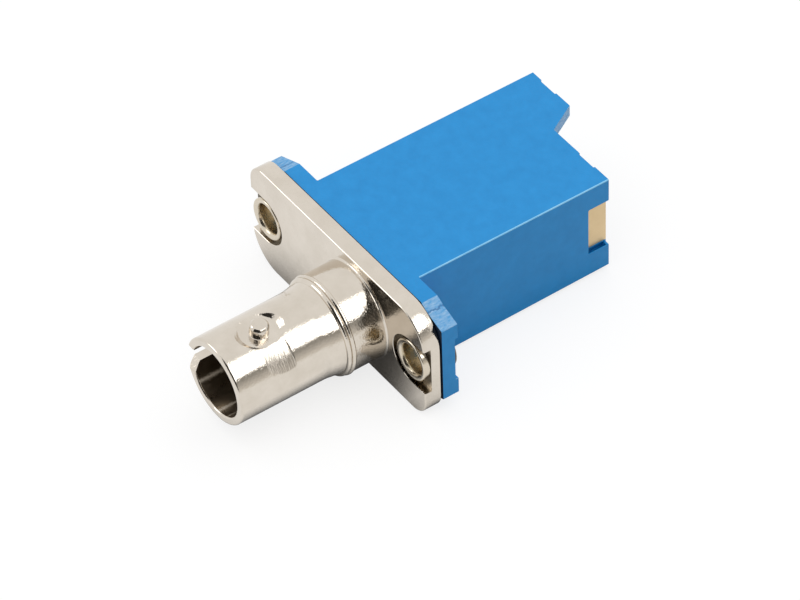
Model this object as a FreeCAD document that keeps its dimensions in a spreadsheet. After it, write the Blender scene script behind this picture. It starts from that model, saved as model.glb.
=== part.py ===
import FreeCAD, Part
import math
import os
import re
import Sketcher
from FreeCAD import Placement, Rotation, Vector

# Hybrid fibre adapter: a die-cast bayonet half riveted to a moulded rectangular half.
# The frame: X along the flange, Y along the light path towards the rectangular mouth, Z up.
# The origin is midway between the two fixing holes, on the face that seats on the panel.

SIZES = {
    # Fixing footprint
    "hole_spacing": 18.0,
    "axis_offset": 2.42,
    # Metal plate of the bayonet half
    "ear_wall": 0.28,
    "plate_overhang": 0.2,
    "plate_thick": 1.5,
    "plate_corner_large": 3.0,
    "plate_corner_small": 1.6,
    "plate_edge": 0.12,
    "ear_pocket_gap": 0.33,
    "ear_pocket_depth": 0.6,
    # Barrel
    "barrel_radius": 3.46,
    "barrel_reach": 12.35,
    "barrel_wall": 0.66,
    "barrel_bore_depth": 9.6,
    "rim_chamfer": 0.15,
    # Collar and double bead where the barrel meets the plate
    "collar_step": 0.44,
    "collar_length": 2.7,
    "flare_rise": 0.29,
    "flare_length": 0.9,
    "bead_width": 0.4,
    "bead_height": 0.1,
    "sweep_length": 1.1,
    # Keyway in the rim, turned about the axis together with the lugs
    "key_turn": 7.2,
    "keyway_width": 1.5,
    "keyway_length": 2.6,
    "keyway_edge": 0.15,
    "keyway_lead_width": 0.8,
    "keyway_lead_depth": 0.65,
    # Bayonet lugs, each on its own spot face
    "lug_setback": 3.77,
    "lug_radius": 0.72,
    "lug_height": 0.56,
    "lug_chamfer": 0.18,
    "spot_radius": 1.49,
    "spot_depth": 0.34,
    "spot_flare": 1.47,
    # Ground flat left where the casting gate was cut off
    "gate_setback": 3.91,
    "gate_length": 2.02,
    "gate_depth": 0.2,
    "gate_angle": 39.7,
    # Blue seat flange of the moulded half
    "seat_margin": 0.1,
    "seat_height": 8.8,
    "seat_thick": 1.4,
    "seat_corner_run": 2.4,
    "seat_corner_drop": 1.0,
    "seat_edge": 0.12,
    "head_pocket_gap": 0.2,
    "head_sink": 0.03,
    # Blue box
    "box_width": 12.6,
    "root_step": 0.02,
    "box_draft": 0.11,
    "short_side": 16.92,
    "tab_reach": 2.5,
    "tab_width": 4.56,
    "slant_run": 1.4,
    "top_wall": 1.05,
    "side_wall": 1.1,
    "bulkhead": 1.0,
    "box_edge": 0.15,
    # Guide grooves in the port's upper and lower walls
    "guide_width": 1.8,
    "guide_depth": 0.35,
    "guide_length": 9.0,
    "guide_inset": 0.6,
    "mouth_relief": 0.12,
    # Notch in the side wall and the latch plate behind it
    "notch_gap": 0.25,
    "notch_length": 1.85,
    "notch_corner": 0.1,
    "latch_thick": 0.4,
    "latch_width": 3.9,
    "latch_length": 8.0,
    "latch_setback": 0.37,
    "latch_window_length": 2.4,
    "latch_window_width": 2.2,
    "latch_window_setback": 4.2,
    "latch_clearance": 0.02,
    "lip_overlap": 0.35,
    # Eyelets
    "eyelet_bore": 1.2,
    "eyelet_wall": 0.3,
    "eyelet_rim_step": 0.22,
    "eyelet_rim_edge": 0.08,
    "eyelet_rim_sink": 0.05,
    "eyelet_flare": 0.3,
    "eyelet_head_step": 0.3,
    "eyelet_head_thick": 0.22,
    "eyelet_clearance": 0.02,
    # Alignment core
    "sleeve_bore": 1.25,
    "sleeve_wall": 0.35,
    "sleeve_length": 11.4,
    "sleeve_slot": 0.5,
    "sleeve_float": 0.05,
    "ferrule_clearance": 0.2,
    "retainer_step": 0.25,
    "retainer_thick": 0.8,
    "holder_wall": 0.3,
    "holder_reach": 7.5,
    "holder_lip": 0.5,
    "holder_lead_in": 0.25,
    "holder_clearance": 0.03,
    "clamp_step": 1.35,
    "clamp_thick": 0.7,
    "clamp_clearance": 0.02,
}

# Radii of the casting
BORE_RADIUS = "(barrel_radius - barrel_wall)"
COLLAR_RADIUS = "(barrel_radius + collar_step)"
FLARE_RADIUS = f"({COLLAR_RADIUS} + flare_rise)"
LUG_TOP = "(barrel_radius + lug_height)"
SPOT_FLOOR = "(barrel_radius - spot_depth)"

# Radii of the eyelets, and what is cut for them
SHANK_RADIUS = "(eyelet_bore + eyelet_wall)"
SHANK_HOLE = f"({SHANK_RADIUS} + eyelet_clearance)"
RIM_RADIUS = f"({SHANK_RADIUS} + eyelet_rim_step)"
HEAD_RADIUS = f"({SHANK_RADIUS} + eyelet_head_step)"
HEAD_FLOOR = "(eyelet_head_thick + head_sink)"

# Radii of the alignment core, from the bore outwards
FERRULE_PASS = "(sleeve_bore + ferrule_clearance)"
SLEEVE_RADIUS = "(sleeve_bore + sleeve_wall)"
SLEEVE_SPACE = f"({SLEEVE_RADIUS} + sleeve_float)"
RETAINER_RADIUS = f"({SLEEVE_SPACE} + retainer_step)"
HOLDER_RADIUS = f"({RETAINER_RADIUS} + holder_wall)"
CLAMP_RADIUS = f"({HOLDER_RADIUS} + clamp_step)"

# Reach from the frame's middle along the flange and upwards
PLATE_END = f"(hole_spacing / 2 + {SHANK_HOLE} + ear_wall)"
PLATE_TOP = "(seat_height / 2 + plate_overhang)"
SEAT_END = f"({PLATE_END} + seat_margin)"
BOX_ROOT = "(seat_height / 2 - root_step)"
BOX_MOUTH = f"({BOX_ROOT} - box_draft)"
PORT_SIDE = "(box_width / 2 - side_wall)"
PORT_TOP = f"({BOX_MOUTH} - top_wall)"
LATCH_OUTER = "(box_width / 2 - latch_setback)"

# Distances along the light path, from the seat face towards the bayonet mouth
PLATE_REAR = "seat_thick"
PLATE_FACE = "(seat_thick + plate_thick)"
BARREL_MOUTH = f"({PLATE_FACE} + barrel_reach)"
HOLDER_FRONT = f"({PLATE_FACE} + holder_reach)"
SLEEVE_FRONT = f"({HOLDER_FRONT} - holder_lip - sleeve_float)"
RETAINER_FRONT = f"({SLEEVE_FRONT} - sleeve_length - sleeve_float)"
HOLDER_REAR = f"({RETAINER_FRONT} - retainer_thick)"

# Distances along the light path, from the seat face towards the rectangular mouth
LONG_SIDE = "(short_side + tab_reach)"
LATCH_MOUTH = "(short_side - latch_clearance)"

ORIGIN_POINT = -1
START = 1
END = 2
CENTRE = 3
MARGIN = 1.0
NEAR = 0.001

doc = FreeCAD.newDocument("hybrid_fibre_adapter")
sheet = doc.addObject("Spreadsheet::Sheet", "Sizes")


def fill_sheet():
    for row, (name, size) in enumerate(SIZES.items(), start=1):
        sheet.set(f"A{row}", name)
        sheet.set(f"B{row}", str(size))
        sheet.setAlias(f"B{row}", name)
    doc.recompute()


def bound(text):
    """The expression with each size's name turned into a reference to its cell."""
    return re.sub(r"[a-z_]+", lambda found: f"Sizes.{found[0]}" if found[0] in SIZES else found[0], text)


def size(text):
    return float(sheet.evalExpression(bound(text)))


# Sketches

def sketch_on(body, role, name, offset=("0", "0", "0"), turn=None):
    """Sketch on one of the body's origin planes, moved by three expressions in the plane's own axes."""
    sketch = body.newObject("Sketcher::SketchObject", name)
    plane = [item for item in body.Origin.OriginFeatures if item.Role == role][0]
    sketch.AttachmentSupport = (plane, [""])
    sketch.MapMode = "FlatFace"
    for axis, text in zip("xyz", offset):
        sketch.setExpression(f"AttachmentOffset.Base.{axis}", bound(text))
    if turn:
        sketch.AttachmentOffset = Placement(Vector(), Rotation(Vector(1, 0, 0), size(turn)))
        sketch.setExpression("AttachmentOffset.Rotation.Angle", bound(turn))
    return sketch


def pin(sketch, kind, element, point, text):
    """Bind a point's distance from the sketch's origin to an expression."""
    constraint = Sketcher.Constraint(kind, ORIGIN_POINT, START, element, point, size(text))
    index = sketch.addConstraint(constraint)
    sketch.setExpression(f"Constraints[{index}]", bound(text))


def measure(sketch, constraint, text):
    index = sketch.addConstraint(constraint)
    sketch.setExpression(f"Constraints[{index}]", bound(text))


def add_arc(sketch, start, end, radius):
    """Arc between two points; a positive radius turns left on the way. Gives its two end numbers."""
    chord = end - start
    reach = math.sqrt(max(radius * radius - chord.Length ** 2 / 4, 0.0))
    left = Vector(-chord.y, chord.x, 0).normalize()
    centre = (start + end) * 0.5 + left * (reach if radius > 0 else -reach)
    first, last = (start, end) if radius > 0 else (end, start)
    angles = [math.atan2(point.y - centre.y, point.x - centre.x) for point in (first, last)]
    circle = Part.Circle(centre, Vector(0, 0, 1), abs(radius))
    sketch.addGeometry(Part.ArcOfCircle(circle, angles[0], angles[1]), False)
    return (START, END) if radius > 0 else (END, START)


def outline(sketch, corners):
    """Closed outline through corners (u, v), or (u, v, r) where an arc of radius r leads to the next."""
    points = [Vector(size(corner[0]), size(corner[1]), 0) for corner in corners]
    first = sketch.GeometryCount
    ends = []
    for index, corner in enumerate(corners):
        start, end = points[index], points[(index + 1) % len(points)]
        if len(corner) == 3:
            ends.append(add_arc(sketch, start, end, size(corner[2])))
            continue
        sketch.addGeometry(Part.LineSegment(start, end), False)
        ends.append((START, END))
    for index, corner in enumerate(corners):
        element = first + index
        following = (index + 1) % len(corners)
        pin(sketch, "DistanceX", element, ends[index][0], corner[0])
        pin(sketch, "DistanceY", element, ends[index][0], corner[1])
        joint = Sketcher.Constraint("Coincident", element, ends[index][1], first + following, ends[following][0])
        sketch.addConstraint(joint)
        if len(corner) == 3:
            measure(sketch, Sketcher.Constraint("Radius", element, abs(size(corner[2]))), f"abs({corner[2]})")


def rectangle(sketch, low_u, low_v, high_u, high_v):
    outline(sketch, [(low_u, low_v), (high_u, low_v), (high_u, high_v), (low_u, high_v)])


def circle(sketch, centre_u, centre_v, radius):
    element = sketch.GeometryCount
    middle = Vector(size(centre_u), size(centre_v), 0)
    sketch.addGeometry(Part.Circle(middle, Vector(0, 0, 1), size(radius)), False)
    pin(sketch, "DistanceX", element, CENTRE, centre_u)
    pin(sketch, "DistanceY", element, CENTRE, centre_v)
    measure(sketch, Sketcher.Constraint("Radius", element, size(radius)), radius)


# Features

def new_body(label, across="0"):
    """Body with its own label, placed along the flange."""
    body = doc.addObject("PartDesign::Body", label)
    body.Label = label
    body.setExpression("Placement.Base.x", bound(across))
    return body


def extrude(body, kind, sketch, name, length, reverse=False, both_ways=False):
    feature = body.newObject(f"PartDesign::{kind}", name)
    feature.Profile = sketch
    feature.setExpression("Length", bound(length))
    feature.Reversed = reverse
    if both_ways:
        feature.SideType = "Symmetric"
    doc.recompute()
    return feature


def turned(body, kind, sketch, name):
    """Revolve a half section about its sketch's vertical axis."""
    feature = body.newObject(f"PartDesign::{kind}", name)
    feature.Profile = sketch
    feature.ReferenceAxis = (sketch, ["V_Axis"])
    feature.Angle = 360
    doc.recompute()
    return feature


def mirrored(body, features, role, name):
    plane = [item for item in body.Origin.OriginFeatures if item.Role == role][0]
    feature = body.newObject("PartDesign::Mirrored", name)
    feature.Originals = features
    feature.MirrorPlane = (plane, [""])
    body.Tip = feature
    doc.recompute()
    return feature


def dress(body, kind, name, amount, wanted):
    """Fillet or chamfer every edge of the body's tip that the test picks."""
    base = body.Tip
    edges = [f"Edge{number}" for number, edge in enumerate(base.Shape.Edges, start=1) if wanted(edge)]
    feature = body.newObject(f"PartDesign::{kind}", name)
    feature.Base = (base, edges)
    feature.setExpression("Radius" if kind == "Fillet" else "Size", bound(amount))
    doc.recompute()
    return feature


def middle_of(edge):
    return edge.valueAt((edge.FirstParameter + edge.LastParameter) / 2)


def straight_along(edge, direction):
    if edge.Curve.TypeId != "Part::GeomLine":
        return False
    return abs(abs(edge.tangentAt(edge.FirstParameter).dot(direction)) - 1) < NEAR


# Bayonet half: one die casting with its plate, collar, barrel and lugs

def plate(body):
    sketch = sketch_on(body, "XZ_Plane", "plate_outline", ("0", "0", PLATE_REAR))
    rectangle(sketch, f"-{PLATE_END}", f"-{PLATE_TOP}", PLATE_END, PLATE_TOP)
    extrude(body, "Pad", sketch, "plate", "plate_thick")
    # The corners pair up by half a turn: the rounder ones are at upper right and lower left
    across = Vector(0, 1, 0)
    for name, amount, sign in (("large", "plate_corner_large", 1), ("small", "plate_corner_small", -1)):
        dress(body, "Fillet", f"plate_corners_{name}", amount,
              lambda edge: straight_along(edge, across) and middle_of(edge).x * middle_of(edge).z * sign > 0)
    face = -size(PLATE_FACE)
    dress(body, "Chamfer", "plate_front_edge", "plate_edge", lambda edge: abs(middle_of(edge).y - face) < NEAR)


def barrel(body):
    sketch = sketch_on(body, "XY_Plane", "barrel_section", ("axis_offset", "0", "0"))
    bead_foot = [f"-{PLATE_FACE} - collar_length - bead_width * {count}" for count in range(3)]
    bead_round = "-((bead_width / 2) ^ 2 + bead_height ^ 2) / (2 * bead_height)"
    sweep_round = "(sweep_length ^ 2 + collar_step ^ 2) / (2 * collar_step)"
    flare_round = "(flare_length ^ 2 + flare_rise ^ 2) / (2 * flare_rise)"
    outline(sketch, [
        ("0", f"-{PLATE_REAR}"),
        (FLARE_RADIUS, f"-{PLATE_REAR}"),
        (FLARE_RADIUS, f"-{PLATE_FACE}", flare_round),
        (COLLAR_RADIUS, f"-{PLATE_FACE} - flare_length"),
        (COLLAR_RADIUS, bead_foot[0], bead_round),
        (COLLAR_RADIUS, bead_foot[1], bead_round),
        (COLLAR_RADIUS, bead_foot[2], sweep_round),
        ("barrel_radius", f"{bead_foot[2]} - sweep_length"),
        ("barrel_radius", f"-{BARREL_MOUTH} + rim_chamfer"),
        ("barrel_radius - rim_chamfer", f"-{BARREL_MOUTH}"),
        ("0", f"-{BARREL_MOUTH}"),
    ])
    turned(body, "Revolution", sketch, "barrel")


def barrel_inside(body):
    sketch = sketch_on(body, "XY_Plane", "bore_section", ("axis_offset", "0", "0"))
    step = f"-{BARREL_MOUTH} + barrel_bore_depth"
    seat = f"-{PLATE_REAR} - clamp_thick - clamp_clearance"
    outline(sketch, [
        ("0", f"-{BARREL_MOUTH}"),
        (f"{BORE_RADIUS} + rim_chamfer", f"-{BARREL_MOUTH}"),
        (BORE_RADIUS, f"-{BARREL_MOUTH} + rim_chamfer"),
        (BORE_RADIUS, step),
        (f"{HOLDER_RADIUS} + holder_clearance", step),
        (f"{HOLDER_RADIUS} + holder_clearance", seat),
        (f"{CLAMP_RADIUS} + clamp_clearance", seat),
        (f"{CLAMP_RADIUS} + clamp_clearance", f"-{PLATE_REAR}"),
        ("0", f"-{PLATE_REAR}"),
    ])
    turned(body, "Groove", sketch, "bore")


def keyway(body):
    """Slot through the wall on the left, with a wide lead-in at its lower side."""
    sketch = sketch_on(body, "YZ_Plane", "keyway_outline", (f"-{BARREL_MOUTH}", "0", "axis_offset"), "key_turn")
    half = "(keyway_width / 2)"
    outline(sketch, [
        ("keyway_length", f"-{half}"),
        ("keyway_length", half),
        ("keyway_edge", half),
        ("0", f"{half} + keyway_edge"),
        (f"-{MARGIN}", f"{half} + keyway_edge"),
        (f"-{MARGIN}", f"-{half} - keyway_lead_width"),
        ("0", f"-{half} - keyway_lead_width"),
        ("keyway_lead_depth", f"-{half}"),
    ])
    extrude(body, "Pocket", sketch, "keyway", f"barrel_radius + {MARGIN}")


def lugs(body):
    """Two opposite lugs, each on a spot face with sloping walls."""
    place = (f"-{BARREL_MOUTH} + lug_setback", "0", "axis_offset")
    rise = f"(spot_depth + {MARGIN})"
    foot = f"(({SPOT_FLOOR} + {BORE_RADIUS}) / 2)"
    for name, side in (("upper", ""), ("lower", "-")):
        ring = sketch_on(body, "YZ_Plane", f"spot_{name}_section", place, "key_turn")
        outline(ring, [
            ("lug_radius", f"{side}{SPOT_FLOOR}"),
            ("spot_radius", f"{side}{SPOT_FLOOR}"),
            (f"spot_radius + {rise} * spot_flare", f"{side}({SPOT_FLOOR} + {rise})"),
            ("lug_radius", f"{side}({SPOT_FLOOR} + {rise})"),
        ])
        turned(body, "Groove", ring, f"spot_face_{name}")
        post = sketch_on(body, "YZ_Plane", f"lug_{name}_section", place, "key_turn")
        outline(post, [
            ("0", f"{side}{foot}"),
            ("lug_radius", f"{side}{foot}"),
            ("lug_radius", f"{side}({LUG_TOP} - lug_chamfer)"),
            ("lug_radius - lug_chamfer", f"{side}{LUG_TOP}"),
            ("0", f"{side}{LUG_TOP}"),
        ])
        turned(body, "Revolution", post, f"lug_{name}")


def gate_flat(body):
    """Shallow flat ground on the barrel beside the upper lug."""
    depth = "(barrel_radius - gate_depth)"
    place = (
        f"-{BARREL_MOUTH} + gate_setback",
        f"{depth} * sin(gate_angle * 1deg)",
        f"axis_offset + {depth} * cos(gate_angle * 1deg)",
    )
    sketch = sketch_on(body, "YZ_Plane", "gate_outline", place, "-gate_angle")
    rectangle(sketch, "-gate_length / 2", "-barrel_radius / 2", "gate_length / 2", "barrel_radius / 2")
    extrude(body, "Pocket", sketch, "gate_flat", "barrel_radius / 4", reverse=True)


def ear_pockets(body):
    """Recesses open to the plate's two ends, and the holes for the eyelet shanks."""
    sketch = sketch_on(body, "XZ_Plane", "ear_outline", ("0", "0", PLATE_FACE))
    half = f"({RIM_RADIUS} + ear_pocket_gap)"
    rectangle(sketch, "hole_spacing / 2", f"-{half}", f"{PLATE_END} + {MARGIN}", half)
    recess = extrude(body, "Pocket", sketch, "ear_pocket", "ear_pocket_depth")
    inner = sketch_on(body, "XZ_Plane", "ear_inner_outline", ("0", "0", PLATE_FACE))
    circle(inner, "hole_spacing / 2", "0", half)
    inner_recess = extrude(body, "Pocket", inner, "ear_pocket_end", "ear_pocket_depth")
    hole = sketch_on(body, "XZ_Plane", "shank_outline", ("0", "0", PLATE_FACE))
    circle(hole, "hole_spacing / 2", "0", SHANK_HOLE)
    shank = extrude(body, "Pocket", hole, "shank_hole", "plate_thick")
    mirrored(body, [recess, inner_recess, shank], "YZ_Plane", "left_ear")


def make_bayonet_body():
    body = new_body("bayonet_body")
    plate(body)
    barrel(body)
    barrel_inside(body)
    lugs(body)
    gate_flat(body)
    keyway(body)
    ear_pockets(body)


# Rectangular half: one moulding with its seat flange and its open box

def seat_flange(body):
    sketch = sketch_on(body, "XZ_Plane", "seat_outline")
    reach = SEAT_END
    rise = "seat_height / 2"
    inner_reach = f"{reach} - seat_corner_run"
    inner_rise = f"({rise} - seat_corner_drop)"
    outline(sketch, [
        (f"-{reach}", f"-{inner_rise}"),
        (f"-({inner_reach})", f"-{rise}"),
        (inner_reach, f"-{rise}"),
        (reach, f"-{inner_rise}"),
        (reach, inner_rise),
        (inner_reach, rise),
        (f"-({inner_reach})", rise),
        (f"-{reach}", inner_rise),
    ])
    extrude(body, "Pad", sketch, "seat_flange", "seat_thick")
    limit = size(f"{SEAT_END} - seat_corner_run / 4")
    dress(body, "Chamfer", "seat_end_edges", "seat_edge",
          lambda edge: abs(middle_of(edge).x) > limit and straight_along(edge, Vector(0, 0, 1)))


def head_pockets(body):
    """Recesses for the eyelet heads, open to the flange's ends, and the holes for the shanks."""
    sketch = sketch_on(body, "XZ_Plane", "head_pocket_outline")
    half = f"({HEAD_RADIUS} + head_pocket_gap)"
    rectangle(sketch, "hole_spacing / 2", f"-{half}", f"{SEAT_END} + {MARGIN}", half)
    recess = extrude(body, "Pocket", sketch, "head_pocket", HEAD_FLOOR, reverse=True)
    inner = sketch_on(body, "XZ_Plane", "head_inner_outline")
    circle(inner, "hole_spacing / 2", "0", half)
    inner_recess = extrude(body, "Pocket", inner, "head_pocket_end", HEAD_FLOOR, reverse=True)
    hole = sketch_on(body, "XZ_Plane", "seat_hole_outline", ("0", "0", "seat_thick"))
    circle(hole, "hole_spacing / 2", "0", SHANK_HOLE)
    shank = extrude(body, "Pocket", hole, "seat_hole", "seat_thick")
    mirrored(body, [recess, inner_recess, shank], "YZ_Plane", "left_head_pocket")


def box_shell(body):
    """Box with a slight draft towards its mouth, its long tab and its cavity."""
    side = sketch_on(body, "YZ_Plane", "box_side")
    outline(side, [
        ("-seat_thick / 2", f"-{BOX_ROOT}"),
        (LONG_SIDE, f"-{BOX_MOUTH}"),
        (LONG_SIDE, BOX_MOUTH),
        ("-seat_thick / 2", BOX_ROOT),
    ])
    extrude(body, "Pad", side, "box", "box_width", both_ways=True)
    tab_end = "(-box_width / 2 + tab_width)"
    cut = sketch_on(body, "XY_Plane", "tab_outline")
    outline(cut, [
        (tab_end, LONG_SIDE),
        (f"{tab_end} + slant_run", "short_side"),
        (f"box_width / 2 + {MARGIN}", "short_side"),
        (f"box_width / 2 + {MARGIN}", f"{LONG_SIDE} + {MARGIN}"),
        (tab_end, f"{LONG_SIDE} + {MARGIN}"),
    ])
    extrude(body, "Pocket", cut, "tab_cut", "seat_height * 2", both_ways=True)
    long_edge = size("short_side - bulkhead")

    def box_corner(edge):
        return edge.Length > long_edge and abs(edge.tangentAt(edge.FirstParameter).x) < NEAR

    dress(body, "Fillet", "box_edges", "box_edge", box_corner)
    hollow = sketch_on(body, "XZ_Plane", "cavity_outline", ("0", "0", "-bulkhead"))
    rectangle(hollow, f"-{PORT_SIDE}", f"-{PORT_TOP}", PORT_SIDE, PORT_TOP)
    extrude(body, "Pocket", hollow, "cavity", LONG_SIDE)


def guide_grooves(body):
    """Grooves in the upper and lower walls, each with a shallow relief in the wall's mouth edge."""
    floor = f"{PORT_TOP} + guide_depth"
    left = f"-{PORT_SIDE}"
    right = f"{PORT_SIDE} - guide_inset - guide_width"
    for name, low, end in (("left", left, LONG_SIDE), ("right", right, "short_side")):
        high = f"{low} + guide_width"
        groove = sketch_on(body, "XZ_Plane", f"guide_{name}_outline", ("0", "0", f"-{end} + guide_length"))
        rectangle(groove, low, f"-({floor})", high, floor)
        extrude(body, "Pocket", groove, f"guide_{name}", f"guide_length + {MARGIN}")
        relief = sketch_on(body, "XY_Plane", f"relief_{name}_outline")
        rectangle(relief, low, f"{end} - mouth_relief", high, f"{end} + {MARGIN}")
        extrude(body, "Pocket", relief, f"relief_{name}", "seat_height * 2", both_ways=True)


def latch_seat(body):
    """Slot for the latch plate in the side wall, open to the port between two lips."""
    inner = f"{LATCH_OUTER} - latch_thick - latch_clearance"
    depth = "latch_length + 2 * latch_clearance"
    slot = sketch_on(body, "XZ_Plane", "latch_slot_outline", ("0", "0", f"-short_side + {depth}"))
    half = "latch_width / 2 + latch_clearance"
    rectangle(slot, inner, f"-({half})", f"{LATCH_OUTER} + latch_clearance", half)
    extrude(body, "Pocket", slot, "latch_slot", f"{depth} + {MARGIN}")
    gap = sketch_on(body, "XZ_Plane", "latch_gap_outline", ("0", "0", f"-short_side + {depth}"))
    lip = "(latch_width / 2 - lip_overlap)"
    rectangle(gap, f"{PORT_SIDE} - latch_clearance", f"-{lip}", f"{LATCH_OUTER} - latch_thick", lip)
    extrude(body, "Pocket", gap, "latch_gap", f"{depth} + {MARGIN}")
    notch = sketch_on(body, "YZ_Plane", "notch_outline", ("0", "0", LATCH_OUTER))
    top = "(latch_width / 2 + notch_gap)"
    foot = "(short_side - notch_length)"
    outline(notch, [
        (f"short_side + {MARGIN}", f"-{top}"),
        (f"short_side + {MARGIN}", top),
        (f"{foot} + notch_corner", top, "notch_corner"),
        (foot, f"{top} - notch_corner"),
        (foot, f"-{top} + notch_corner", "notch_corner"),
        (f"{foot} + notch_corner", f"-{top}"),
    ])
    extrude(body, "Pocket", notch, "notch", f"latch_setback + {MARGIN}", reverse=True)


def core_hole(body):
    sketch = sketch_on(body, "XZ_Plane", "core_hole_outline", ("0", "0", "seat_thick"))
    circle(sketch, "axis_offset", "0", f"{HOLDER_RADIUS} + holder_clearance")
    extrude(body, "Pocket", sketch, "core_hole", "seat_thick + bulkhead")


def make_housing():
    body = new_body("housing")
    seat_flange(body)
    head_pockets(body)
    box_shell(body)
    guide_grooves(body)
    latch_seat(body)
    core_hole(body)


def make_latch_plate():
    """Stamped plate with the window that a plug's latch snaps into."""
    body = new_body("latch_plate")
    sketch = sketch_on(body, "YZ_Plane", "latch_outline", ("0", "0", f"{LATCH_OUTER} - latch_thick"))
    half = "latch_width / 2"
    rectangle(sketch, f"{LATCH_MOUTH} - latch_length", f"-{half}", LATCH_MOUTH, half)
    window_end = f"({LATCH_MOUTH} - latch_window_setback)"
    half_window = "latch_window_width / 2"
    rectangle(sketch, f"{window_end} - latch_window_length", f"-{half_window}", window_end, half_window)
    extrude(body, "Pad", sketch, "latch_plate", "latch_thick")


# Eyelets that rivet the two halves together

def make_eyelet(label, side):
    body = new_body(label, f"{side} * hole_spacing / 2")
    sketch = sketch_on(body, "XY_Plane", f"{label}_section")
    front = f"(-{PLATE_FACE} + eyelet_rim_sink)"
    pocket_floor = f"(-{PLATE_FACE} + ear_pocket_depth)"
    outline(sketch, [
        ("eyelet_bore", "-head_sink"),
        ("eyelet_bore", f"{front} + eyelet_flare"),
        ("eyelet_bore + eyelet_flare", front),
        (f"{RIM_RADIUS} - eyelet_rim_edge", front),
        (RIM_RADIUS, f"{front} + eyelet_rim_edge"),
        (RIM_RADIUS, pocket_floor),
        (SHANK_RADIUS, pocket_floor),
        (SHANK_RADIUS, f"-{HEAD_FLOOR}"),
        (HEAD_RADIUS, f"-{HEAD_FLOOR}"),
        (HEAD_RADIUS, "-head_sink"),
    ])
    turned(body, "Revolution", sketch, label)


# Alignment core on the light path

def make_sleeve_holder():
    """Tube that carries the split sleeve, with the disc clamped between the two halves."""
    body = new_body("sleeve_holder", "axis_offset")
    sketch = sketch_on(body, "XY_Plane", "holder_section")
    outline(sketch, [
        (FERRULE_PASS, f"-{HOLDER_FRONT} + holder_lead_in"),
        (FERRULE_PASS, f"-{HOLDER_FRONT} + holder_lip"),
        (SLEEVE_SPACE, f"-{HOLDER_FRONT} + holder_lip"),
        (SLEEVE_SPACE, f"-{RETAINER_FRONT}"),
        (RETAINER_RADIUS, f"-{RETAINER_FRONT}"),
        (RETAINER_RADIUS, f"-{HOLDER_REAR}"),
        (HOLDER_RADIUS, f"-{HOLDER_REAR}"),
        (HOLDER_RADIUS, f"-{PLATE_REAR}"),
        (CLAMP_RADIUS, f"-{PLATE_REAR}"),
        (CLAMP_RADIUS, f"-{PLATE_REAR} - clamp_thick"),
        (HOLDER_RADIUS, f"-{PLATE_REAR} - clamp_thick"),
        (HOLDER_RADIUS, f"-{HOLDER_FRONT} + holder_lead_in"),
        (f"{HOLDER_RADIUS} - holder_lead_in", f"-{HOLDER_FRONT}"),
        (f"{FERRULE_PASS} + holder_lead_in", f"-{HOLDER_FRONT}"),
    ])
    turned(body, "Revolution", sketch, "sleeve_holder")


def make_split_sleeve():
    """Ceramic tube with one slot along it, which grips both ferrules."""
    body = new_body("split_sleeve", "axis_offset")
    sketch = sketch_on(body, "XZ_Plane", "sleeve_outline", ("0", "0", f"{SLEEVE_FRONT} - sleeve_length"))
    circle(sketch, "0", "0", SLEEVE_RADIUS)
    circle(sketch, "0", "0", "sleeve_bore")
    extrude(body, "Pad", sketch, "sleeve_tube", "sleeve_length")
    slot = sketch_on(body, "XZ_Plane", "sleeve_slot_outline", ("0", "0", SLEEVE_FRONT))
    rectangle(slot, "-sleeve_slot / 2", "0", "sleeve_slot / 2", f"{SLEEVE_RADIUS} + {MARGIN}")
    extrude(body, "Pocket", slot, "sleeve_slot", "sleeve_length")


def make_sleeve_retainer():
    """Ring pressed into the holder's rear end after the sleeve."""
    body = new_body("sleeve_retainer", "axis_offset")
    sketch = sketch_on(body, "XY_Plane", "retainer_section")
    outline(sketch, [
        (FERRULE_PASS, f"-{RETAINER_FRONT}"),
        (RETAINER_RADIUS, f"-{RETAINER_FRONT}"),
        (RETAINER_RADIUS, f"-{HOLDER_REAR}"),
        (f"{FERRULE_PASS} + holder_lead_in", f"-{HOLDER_REAR}"),
        (FERRULE_PASS, f"-{HOLDER_REAR} - holder_lead_in"),
    ])
    turned(body, "Revolution", sketch, "sleeve_retainer")


def check_document():
    faults = [item.Name for item in doc.Objects if {"Invalid", "Error"} & set(item.State)]
    bodies = [item for item in doc.Objects if item.TypeId == "PartDesign::Body"]
    faults += [body.Label for body in bodies if body.Shape.isNull() or not body.Shape.isValid()]
    if faults:
        raise RuntimeError(f"failed objects: {faults}")
    return bodies


fill_sheet()
make_bayonet_body()
make_housing()
make_latch_plate()
make_eyelet("eyelet_left", -1)
make_eyelet("eyelet_right", 1)
make_sleeve_holder()
make_split_sleeve()
make_sleeve_retainer()
doc.recompute()
sub_parts = check_document()
os.makedirs("parts", exist_ok=True)
for sub_part in sub_parts:
    sub_part.Shape.exportStep(f"parts/{sub_part.Label}.step")
    print(sub_part.Label, len(sub_part.Shape.Solids), round(sub_part.Shape.Volume, 3))
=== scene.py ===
import math
import bmesh
import bpy
import numpy as np
from mathutils import Matrix, Vector

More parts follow.
